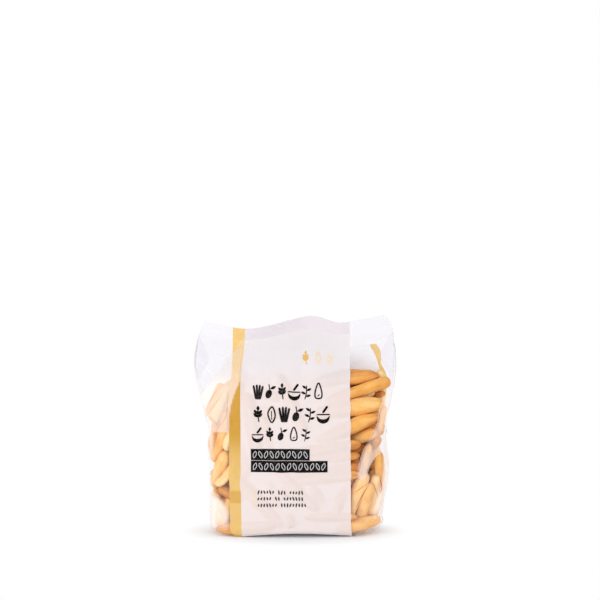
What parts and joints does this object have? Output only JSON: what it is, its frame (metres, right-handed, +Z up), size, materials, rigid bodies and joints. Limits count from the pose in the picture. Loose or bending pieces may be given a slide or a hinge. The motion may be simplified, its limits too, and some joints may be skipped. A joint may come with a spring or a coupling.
{
  "type": "bag of breadsticks",
  "caption": "Clear sealed film bag of short crisp breadsticks, with a flat base it stands on, gusseted sides, a printed front and a wavy crimped top fin.",
  "frame": {"origin": "on the surface the bag stands on, under the middle of its box", "axes": "+Z up to the crimped fin, +X to the right of a person who faces the printed front, which looks towards -Y"},
  "size_m": [0.1601, 0.0692, 0.1741],
  "materials": {
    "clear_film": "clear glossy oriented polypropylene film",
    "breadstick": "dry baked crust, pale golden to golden brown, slightly floury",
    "white_ink": "thin white flexographic ink on film, lets some of what is behind show through",
    "gold_ink": "ochre gold flexographic ink on film",
    "black_ink": "black flexographic ink on film"
  },
  "bodies": {
    "root": {"bag": "clear_film"}
  },
  "joints": []
}
